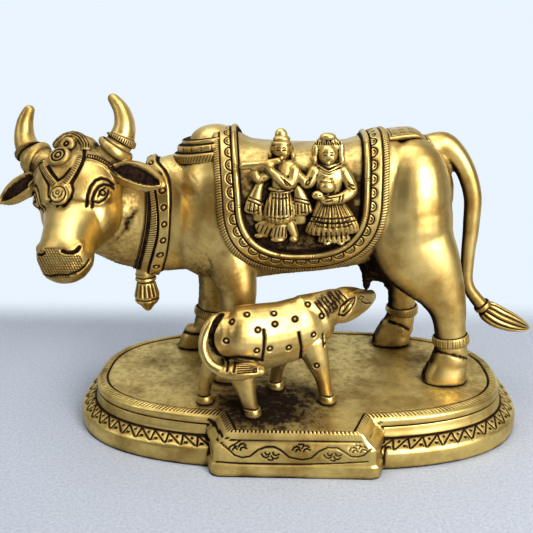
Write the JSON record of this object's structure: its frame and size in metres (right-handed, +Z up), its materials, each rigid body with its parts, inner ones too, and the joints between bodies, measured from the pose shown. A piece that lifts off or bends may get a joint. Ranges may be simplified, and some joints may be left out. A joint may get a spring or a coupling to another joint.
{
  "type": "cow and calf figurine",
  "caption": "Cast brass figurine of a cow in a carved saddle cloth with her calf at the udder, on a stepped oval base",
  "frame": {"origin": "centre of the base's flat underside", "axes": "+X from the cow's head to her tail, -Y towards the side with the calf, +Z up"},
  "size_m": [0.2226, 0.102, 0.1369],
  "materials": {
    "base_brass": "cast brass, dulled and darkened on the plate, polished on the edges",
    "cow_brass": "polished antique brass with black patina in the carving",
    "calf_brass": "polished antique brass with black patina in the carving"
  },
  "bodies": {
    "root": {"base": "base_brass", "cow": "cow_brass", "calf": "calf_brass"}
  },
  "joints": []
}
